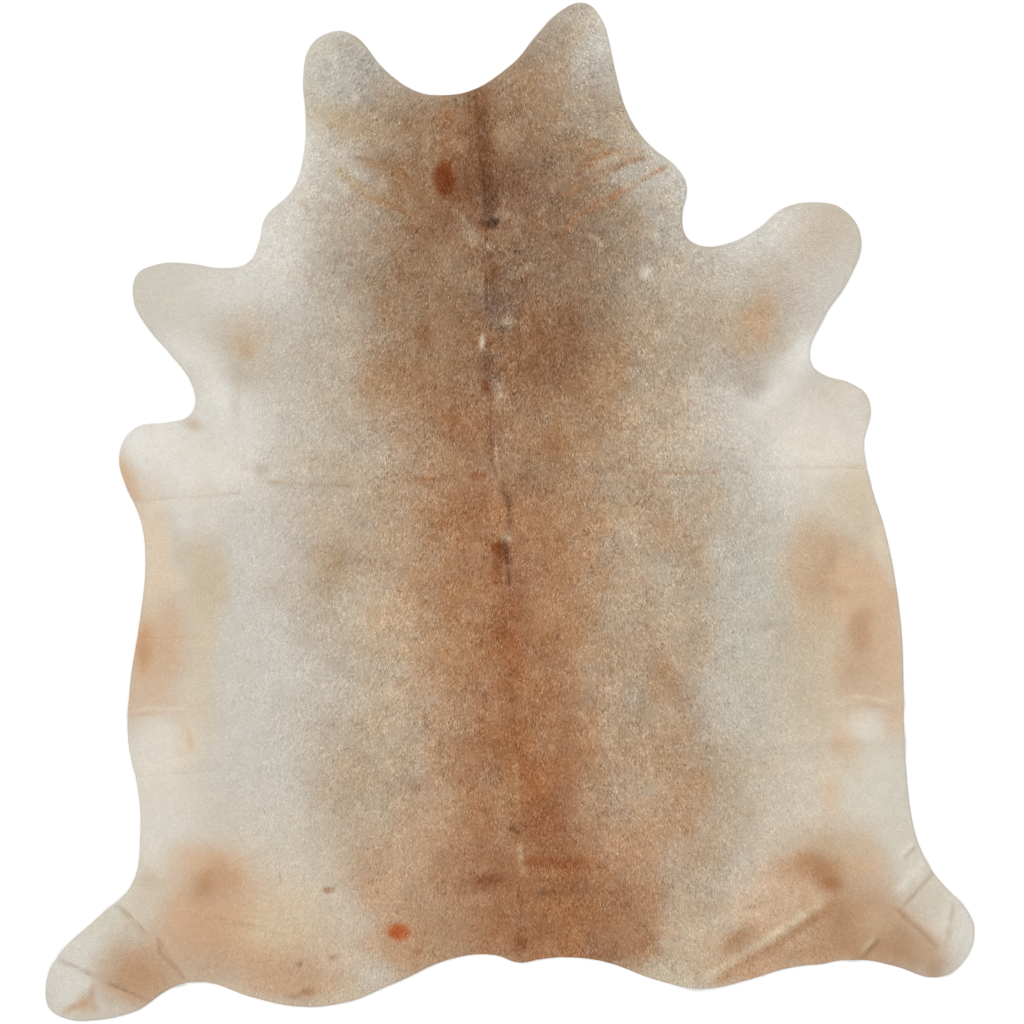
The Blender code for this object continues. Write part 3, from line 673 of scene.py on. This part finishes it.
def lattice(loop, pitch):
    """The points of a lattice of equal triangles that fall inside a loop. Along each row, a point is inside
    where the row has crossed the loop an odd number of times."""
    low, high = loop.min(0) - pitch, loop.max(0) + pitch
    rows = np.arange(low[1], high[1], pitch * math.sqrt(0.75))
    count = int((high[0] - low[0]) / pitch) + 2
    shift = np.where(np.arange(len(rows)) % 2, pitch / 2, 0.0)
    a, b = loop, np.roll(loop, -1, 0)
    row, edge = np.nonzero((a[None, :, 1] <= rows[:, None]) != (b[None, :, 1] <= rows[:, None]))
    share = (rows[row] - a[edge, 1]) / (b[edge, 1] - a[edge, 1])
    crossing = a[edge, 0] + share * (b[edge, 0] - a[edge, 0])
    column = np.ceil((crossing - low[0] - shift[row]) / pitch).astype(int)
    marks = np.zeros((len(rows), count + 1), int)
    np.add.at(marks, (row, np.clip(column, 0, count)), 1)
    inside = np.cumsum(marks, 1)[:, :count] % 2 == 1
    r, c = np.nonzero(inside)
    return np.stack([low[0] + shift[r] + c * pitch, rows[r]], 1)


def on_creases(loop, pitch):
    """Points at even steps along every fold's line, where they fall inside a loop, so that a fold's bottom
    or crest is an edge of the mesh."""
    steps = []
    for _, _, x0, y0, x1, y1, _, _ in FOLDS:
        share = np.linspace(0.0, 1.0, max(2, round(math.hypot(x1 - x0, y1 - y0) / pitch)))[:, None]
        steps.append((1 - share) * [x0, y0] + share * [x1, y1])
    points = np.vstack(steps)
    a, b = loop, np.roll(loop, -1, 0)
    px, py = points[:, :1], points[:, 1:]
    spans = (a[:, 1] <= py) != (b[:, 1] <= py)
    rise = np.where(spans, b[:, 1] - a[:, 1], 1.0)
    right = a[:, 0] + (py - a[:, 1]) / rise * (b[:, 0] - a[:, 0]) > px
    return points[(spans & right).sum(1) % 2 == 1]


def triangles(points, loop_count):
    """Triangles over flat points, the first loop_count of which are the outline in order."""
    edges = [(i, (i + 1) % loop_count) for i in range(loop_count)]
    found = delaunay_2d_cdt([Vector(p) for p in points.tolist()], edges, [], 1, 1e-6)
    origin = [first[0] for first in found[3]]
    return np.array(origin)[np.array(found[2])]


# ---------------------------------------------------------------- meshes
def placed(name, data):
    """An object in the scene, at the origin."""
    made = bpy.data.objects.new(name, data)
    bpy.context.scene.collection.objects.link(made)
    return made


def new_piece(name, places, faces, material, maps, colours=None, shade_smooth=True):
    """A mesh object from n x 3 places in mm and m x k faces. maps holds a place on the map for each point
    or each face corner, and colours is the screen colour at each point."""
    mesh = bpy.data.meshes.new(name)
    corners = faces.ravel().astype(np.int32)
    mesh.vertices.add(len(places))
    mesh.vertices.foreach_set("co", (places / 1000.0).astype(np.float32).ravel())
    mesh.loops.add(len(corners))
    mesh.loops.foreach_set("vertex_index", corners)
    mesh.polygons.add(len(faces))
    mesh.polygons.foreach_set("loop_start", np.arange(0, len(corners), faces.shape[1], dtype=np.int32))
    mesh.update(calc_edges=True)
    mesh.polygons.foreach_set("use_smooth", np.full(len(faces), shade_smooth))
    each = maps[corners] if len(maps) == len(places) else maps
    mesh.uv_layers.new(name="OFBake").uv.foreach_set("vector", each.astype(np.float32).ravel())
    if colours is not None:
        light = np.ones((len(places), 4), np.float32)
        light[:, :3] = to_light(np.clip(colours, 0.0, 1.0))
        layer = mesh.color_attributes.new(COAT_LAYER, "FLOAT_COLOR", "POINT")
        layer.data.foreach_set("color", light.ravel())
    mesh.validate()
    piece = placed(name, mesh)
    mesh.materials.append(material)
    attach(piece, "root")
    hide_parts("hide")
    return piece


def on_map(xy):
    """Place on a square map that covers the whole rug."""
    return 0.5 + xy / MAP_SIZE


def ground_piece(loop, material):
    """The underhair: a sheet at lift + skin + ground over the rug. At the cut edge it rolls down to the
    leather over rings of points, which stand on a quarter round."""
    normal = outward(loop)
    rings, drop, spread = [], [], []
    for turn in (0.0, 25.0, 50.0, 72.0, 90.0):
        t = math.radians(turn)
        fallen = ROLL_DROP * (1 - math.sin(t))
        rings.append(loop - normal * (ROLL_REACH * (1 - math.cos(t)) - 0.1))
        drop.append(np.full(len(loop), fallen))
        spread.append(normal * (fallen * 0.8))
    inner = loop - normal * (ROLL_CLEAR + CLEAR * GROUND_PITCH)
    flat = np.vstack(rings + [lattice(inner, GROUND_PITCH), on_creases(inner, GROUND_PITCH)])
    faces = triangles(flat, len(loop))
    fall = np.concatenate(drop + [np.zeros(len(flat) - 5 * len(loop))])
    x, y = flat.T
    rough = 0.22 * noise(x, y, 9, 41) + 0.16 * noise(x, y, 25, 42)
    z = lift(x, y) + SKIN + GROUND - fall + np.where(fall > 0, 0.0, rough)
    shift = np.vstack(spread + [np.zeros((len(flat) - 5 * len(loop), 2))])
    return new_piece("hide_ground", np.column_stack([flat, z]), faces, material,
                     on_map(flat + shift), dyed(coat_colour(x, y)))


def skin_piece(loop, material, edge_material):
    """The leather: its resting side at lift, its hair side a skin higher, and the cut edge between them,
    which is laid out beside the rug's outline on the map."""
    normal = outward(loop)
    inner = loop - normal * CLEAR * SKIN_PITCH
    flat = np.vstack([loop, lattice(inner, SKIN_PITCH), on_creases(inner, CLEAR * SKIN_PITCH)])
    faces = triangles(flat, len(loop))
    x, y = flat.T
    low = np.column_stack([flat, lift(x, y)])
    high = low + [0, 0, SKIN]
    n, m = len(flat), len(loop)
    bulge = np.column_stack([loop + normal * 0.35, lift(*loop.T) + SKIN / 2])
    i = np.arange(m)
    j = (i + 1) % m
    mid = 2 * n
    wall = np.concatenate([
        np.column_stack([i, j, mid + j]), np.column_stack([i, mid + j, mid + i]),
        np.column_stack([mid + i, mid + j, n + j]), np.column_stack([mid + i, n + j, n + i])])
    all_faces = np.concatenate([faces + n, faces[:, ::-1], wall])
    places = np.vstack([low, high, bulge])
    maps = on_map(np.vstack([flat, flat, loop]))
    # the wall unfolds outwards from the resting side
    corner_maps = maps[all_faces.ravel()].reshape(-1, 3, 2)
    step = np.zeros((2 * n + m, 2))
    step[mid:] = normal * WALL_STEP / MAP_SIZE
    step[n:n + m] = normal * 2 * WALL_STEP / MAP_SIZE
    is_wall = slice(len(all_faces) - len(wall), None)
    corner_maps[is_wall] += step[wall.ravel()].reshape(-1, 3, 2)
    piece = new_piece("hide_skin", places, all_faces, material, corner_maps.reshape(-1, 2))
    piece.data.materials.append(edge_material)
    slots = np.zeros(len(piece.data.polygons), np.int32)
    slots[is_wall] = 1
    piece.data.polygons.foreach_set("material_index", slots)
    return piece


def blades(root, heading, length, width, rise, roll, base):
    """Points of single hairs, n x 3 x 3. A hair is one long triangle that faces up: two points at the root,
    square to its heading and rolled about it, and one at the tip, which stands off by rise and follows the
    ground."""
    hx, hy = heading
    across = np.stack([-hy, hx, np.zeros_like(hx)], 1) * (width / 2)[:, None]
    across[:, 2] = np.tan(roll) * width / 2
    foot = np.column_stack([root, base])
    tip_xy = root + np.stack([hx, hy], 1) * length[:, None]
    over = lift(*tip_xy.T) - lift(*root.T)
    tip = np.column_stack([tip_xy, base + over + np.sin(rise) * length])
    return np.stack([foot + across, foot - across, tip], 1)


def turned(hx, hy, sway):
    """A direction turned by an angle."""
    return hx * np.cos(sway) - hy * np.sin(sway), hx * np.sin(sway) + hy * np.cos(sway)


def any_roll(rng, n):
    """How far n hairs are rolled about themselves, radians."""
    usual, most = HAIR_ROLL
    return np.clip(rng.normal(0.0, usual, n), -most, most)


def dyed(tone):
    """A coat colour as the hair itself has it: its dark parts a little deeper, as gloss lightens them."""
    return tone - 0.12 * np.maximum(0.52 - tone, 0.0) - 0.25 * np.maximum(0.27 - tone, 0.0)


def hair_colours(xy, rng):
    """Root and tip colours of single hairs over the places xy. Each hair takes the coat's colour there, made
    lighter or darker by its own luck and by locks of a fine noise, with a few pale and a few dark hairs. All
    of that goes with the coat's pepper, and so do the darker roots, painted shade where the hairs lie over
    one another, and the paler tips, painted light on their free ends."""
    x, y = xy.T
    tone = dyed(coat_colour(x, y))
    much = pepper(x, y)
    odd = rng.random(len(x))
    own = rng.normal(0.0, 0.078, len(x)) + 0.06 * noise(x, y, 3.8, 51)
    own += np.where(odd < 0.10, -0.16, 0.02) + np.where(odd > 0.96, 0.08, 0.0)
    own = (own * much)[:, None] * np.array([0.96, 1.0, 1.03])
    fade = (0.3 + 0.7 * much)[:, None]
    # roots darker as painted shade under the other hairs, tips paler as painted light
    return tone * (1.02 - 0.06 * fade) + own, tone * (1.02 + 0.05 * fade) + own


def hair_piece(name, places, first, last, material, maps):
    """A piece of single hairs, three places to each, from the colour of its root to that of its tip."""
    colours = np.repeat(first, 3, 0)
    colours[2::3] = last
    faces = np.arange(len(places)).reshape(-1, 3)
    return new_piece(name, places, faces, material, maps, colours, shade_smooth=False)


def hair_pieces(loop, names, material):
    """Guard hair over the whole rug, rooted on a shaken lattice, in bands of equal count from neck to tail.
    Each band's map is its own rectangle seen from above."""
    rng = np.random.default_rng(7)
    root = lattice(loop - outward(loop) * ROOT_INSET, HAIR_PITCH)
    root = root + rng.uniform(-0.5, 0.5, root.shape) * HAIR_PITCH
    root = root[np.argsort(-root[:, 1], kind="stable")]
    n = len(root)
    hx, hy = hair_heading(*root.T)
    sway = rng.normal(0.0, 0.26, n)
    heading = turned(hx, hy, sway)
    length = rng.uniform(*HAIR_LENGTH, n)
    width = rng.uniform(*HAIR_WIDTH, n)
    rise = np.radians(rng.uniform(*HAIR_LIFT, n))
    roll = any_roll(rng, n) * pepper(*root.T)
    foot = lift(*root.T) + SKIN + GROUND - 0.1
    points = blades(root, heading, length, width, rise, roll, foot)
    first, last = hair_colours(root + 0.5 * length[:, None] * np.stack(heading, 1), rng)
    made = []
    for name, part in zip(names, np.array_split(np.arange(n), len(names))):
        places = points[part].reshape(-1, 3)
        low, high = places[:, :2].min(0), places[:, :2].max(0)
        maps = 0.004 + 0.992 * (places[:, :2] - low) / (high - low)
        made.append(hair_piece(name, places, first[part], last[part], material, maps))
    return made


def fringe_piece(loop, material):
    """Hair rooted along the cut edge, which leans out over it and down and so hides the leather."""
    rng = np.random.default_rng(8)
    fine = respaced(loop, FRINGE_PITCH)
    normal = outward(fine)
    n = len(fine)
    root = fine - normal * rng.uniform(*FRINGE_ROOTS, n)[:, None]
    hx, hy = hair_heading(*root.T)
    facing = hx * normal[:, 0] + hy * normal[:, 1]
    push = np.clip(FRINGE_LEAN - facing, 0.0, 1.4)
    hx, hy = hx + push * normal[:, 0], hy + push * normal[:, 1]
    size = np.hypot(hx, hy)
    sway = rng.normal(0.0, 0.3, n)
    hx, hy = hx / size, hy / size
    heading = turned(hx, hy, sway)
    length = rng.uniform(*FRINGE_LENGTH, n)
    width = rng.uniform(*HAIR_WIDTH, n)
    rise = np.radians(rng.uniform(*FRINGE_LIFT, n))
    foot = lift(*root.T) + SKIN + GROUND - 0.15
    points = blades(root, heading, length, width, rise, any_roll(rng, n), foot)
    first, last = hair_colours(root, rng)
    places = points.reshape(-1, 3)
    return hair_piece("hair_rim", places, first, last, material, on_map(places[:, :2]))


# ---------------------------------------------------------------- materials
class Val:
    """A node socket that takes part in plain arithmetic. Each operator adds its Math node."""

    def __init__(self, shader, socket):
        self.shader, self.socket = shader, socket

    def math(self, operation, *others):
        return self.shader.node("ShaderNodeMath", {"operation": operation}, dict(enumerate((self, *others))))

    def __add__(self, other): return self.math("ADD", other)
    def __radd__(self, other): return self.math("ADD", other)
    def __sub__(self, other): return self.math("SUBTRACT", other)
    def __rsub__(self, other): return (self * -1.0) + other
    def __mul__(self, other): return self.math("MULTIPLY", other)

    def clamped(self, low=0.0, high=1.0):
        return self.math("MAXIMUM", low).math("MINIMUM", high)


class Shader:
    """A material and its nodes."""

    def __init__(self, name):
        self.material = bpy.data.materials.new(name)
        self.material.use_nodes = True
        self.tree = self.material.node_tree
        self.tree.nodes.clear()

    def node(self, kind, settings=None, inputs=None, out=0):
        """Adds a node: its settings first, then its sockets' values or links. Returns one output."""
        made = self.tree.nodes.new(kind)
        for key, value in (settings or {}).items():
            setattr(made, key, value)
        for key, value in (inputs or {}).items():
            if isinstance(value, Val):
                self.tree.links.new(value.socket, made.inputs[key])
            else:
                made.inputs[key].default_value = value
        return Val(self, made.outputs[out]) if made.outputs else None

    def places(self, scale=(1.0, 1.0, 1.0), turn=0.0):
        """Object coordinates in metres, scaled and turned."""
        co = self.node("ShaderNodeTexCoord", out="Object")
        return self.node("ShaderNodeMapping", {},
                         {"Vector": co, "Scale": scale, "Rotation": (0.0, 0.0, turn)})

    def noise(self, scale, detail=2.0, rough=0.5, where=None, distortion=0.0):
        """Noise about zero, -1 to 1, scale cells a metre."""
        inputs = {"Vector": where or self.places(), "Scale": scale, "Detail": detail, "Roughness": rough,
                  "Distortion": distortion}
        return self.node("ShaderNodeTexNoise", {"noise_dimensions": "3D"}, inputs) * 2.0 - 1.0

    def mix(self, share, first, second):
        """Colour mix: first where share is 0, second where it is 1."""
        return self.node("ShaderNodeMix", {"data_type": "RGBA"}, {0: share, 6: first, 7: second}, out=2)

    def coat_colour(self):
        """The colour that the mesh holds at each of its points."""
        return self.node("ShaderNodeAttribute", {"attribute_name": COAT_LAYER}, out="Color")

    def scaled(self, colour, factor):
        """A colour times a number."""
        return self.node("ShaderNodeVectorMath", {"operation": "SCALE"}, {0: colour, "Scale": factor})

    def bump(self, height, distance, strength=1.0):
        return self.node("ShaderNodeBump", {}, {"Height": height, "Distance": distance, "Strength": strength})

    def finish(self, **sockets):
        """Principled surface with these sockets, underscores standing for blanks. Returns the material."""
        named = {key.replace("_", " "): value for key, value in sockets.items()}
        surface = self.node("ShaderNodeBsdfPrincipled", {}, named)
        self.node("ShaderNodeOutputMaterial", {}, {"Surface": surface})
        return self.material


HAIR_GLOSS = {"Specular_IOR_Level": 0.14, "Sheen_Weight": 0.05, "Sheen_Roughness": 0.5}


def hair_material():
    """Guard hair: the colour of its own hair, finely uneven along it, with a soft sheen."""
    s = Shader("guard hair")
    own = s.coat_colour()
    uneven = s.noise(420.0, 2.0, 0.6)
    colour = s.scaled(own, 1.0 + uneven * 0.07)
    rough = (0.56 + s.noise(60.0, 2.0) * 0.06).clamped(0.4, 0.8)
    return s.finish(Base_Color=colour, Roughness=rough, **HAIR_GLOSS)


def ground_material():
    """Underhair: the coat's colour, darkened overall as painted shade under the guard hair and darker between
    the locks as painted shade there, with a nap of short fibres.
    """
    s = Shader("underhair")
    own = s.coat_colour()
    fibres = s.noise(520.0, 3.0, 0.65, s.places((1.0, 0.35, 1.0)))
    locks = s.noise(150.0, 3.0, 0.6)
    # 0.86 darkens the coat's colour as painted shade under the guard hair; the locks noise paints shade
    # between the locks
    colour = s.scaled(own, 0.86 + fibres * 0.16 + locks * 0.08)
    rough = (0.72 + fibres * 0.10).clamped(0.5, 0.95)
    normal = s.bump(fibres * 0.6 + locks * 0.5, 0.0008, 0.7)
    return s.finish(Base_Color=colour, Roughness=rough, Normal=normal, **HAIR_GLOSS)


def flesh_material():
    """Flesh side of the leather: pale chrome-tanned suede, clouded, with a short nap, faint veins and
    growth lines."""
    s = Shader("suede flesh side")
    nap = s.noise(900.0, 3.0, 0.7)
    clouds = s.noise(4.5, 4.0, 0.6)
    brushed = s.noise(34.0, 4.0, 0.65, s.places((1.0, 0.22, 1.0), 0.3), 0.6)
    veins = s.node("ShaderNodeTexVoronoi", {"feature": "DISTANCE_TO_EDGE"},
                   {"Vector": s.places((1.0, 0.45, 1.0), 0.2), "Scale": 7.0}, out="Distance")
    vein = (1.0 - veins * 14.0).clamped()
    base = s.mix((0.5 + clouds * 0.8).clamped(), (0.50, 0.44, 0.37, 1.0), (0.60, 0.56, 0.50, 1.0))
    base = s.mix((0.5 + brushed * 0.6).clamped() * 0.5, base, (0.66, 0.62, 0.56, 1.0))
    base = s.mix(vein * 0.18, base, (0.42, 0.34, 0.27, 1.0))
    colour = s.scaled(base, 1.0 + nap * 0.09)
    rough = (0.88 + nap * 0.06).clamped(0.6, 1.0)
    normal = s.bump(nap * 0.5 + brushed * 0.6 + vein * 0.5, 0.0006, 0.6)
    return s.finish(Base_Color=colour, Roughness=rough, Normal=normal, Specular_IOR_Level=0.2,
                    Sheen_Weight=0.25, Sheen_Roughness=0.6)


def edge_material():
    """Cut edge of the leather: pale fibre, darker where it has been handled."""
    s = Shader("cut edge")
    fibre = s.noise(700.0, 3.0, 0.7, s.places((1.0, 1.0, 3.0)))
    worn = s.noise(11.0, 3.0, 0.6)
    base = s.mix((0.5 + worn * 0.7).clamped(), (0.46, 0.37, 0.28, 1.0), (0.62, 0.56, 0.47, 1.0))
    colour = s.scaled(base, 1.0 + fibre * 0.14)
    normal = s.bump(fibre, 0.0005, 0.7)
    return s.finish(Base_Color=colour, Roughness=0.85, Normal=normal, Specular_IOR_Level=0.2)


# ---------------------------------------------------------------- the rug
outline = cut_edge(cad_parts["hide"])
outline = respaced(outline - outward(outline) * knife_depth(*outline.T)[:, None], RIM_PITCH)
skin = skin_piece(outline, flesh_material(), edge_material())
ground = ground_piece(outline, ground_material())
hair_finish = hair_material()
bands = ("hair_neck", "hair_shoulders", "hair_barrel", "hair_loin", "hair_rump")
hair = hair_pieces(outline, bands, hair_finish)
rim = fringe_piece(outline, hair_finish)

# ---------------------------------------------------------------- floor, light and camera
floor_mesh = bpy.data.meshes.new("floor")
floor_mesh.from_pydata([(-40, -40, -0.0004), (40, -40, -0.0004), (40, 40, -0.0004), (-40, 40, -0.0004)], [],
                       [(0, 1, 2, 3)])
floor = placed("floor", floor_mesh)
paper = Shader("white paper floor")
floor_mesh.materials.append(
    paper.finish(Base_Color=(0.93, 0.93, 0.93, 1.0), Roughness=0.9, Specular_IOR_Level=0.1))

world = bpy.data.worlds.new("studio")
world.use_nodes = True
backdrop = world.node_tree.nodes["Background"]
backdrop.inputs["Color"].default_value = (1.0, 1.0, 1.0, 1.0)
backdrop.inputs["Strength"].default_value = 0.62
bpy.context.scene.world = world


def soft_sun(name, strength, towards, spread):
    """A broad distant lamp that shines along a direction."""
    data = bpy.data.lights.new(name, "SUN")
    data.energy, data.angle = strength, math.radians(spread)
    placed(name, data).rotation_euler = Vector(towards).to_track_quat("-Z", "Y").to_euler()


soft_sun("key", 1.35, (0.75, -0.8, -1.0), 24)
soft_sun("fill", 0.75, (-0.5, 0.25, -1.0), 60)

VIEW_WIDTH = 2.2086     # width of the floor that the frame shows, metres
LENS, SENSOR = 85.0, 36.0
camera_data = bpy.data.cameras.new("overhead")
camera_data.lens, camera_data.sensor_width = LENS, SENSOR
camera_data.clip_end = 100.0
camera = placed("overhead", camera_data)
camera.location = (0.0043, -0.0011, 0.004 + VIEW_WIDTH * LENS / SENSOR)
bpy.context.scene.camera = camera
bpy.context.scene.view_settings.view_transform = "Standard"
bpy.context.scene.view_settings.look = "None"
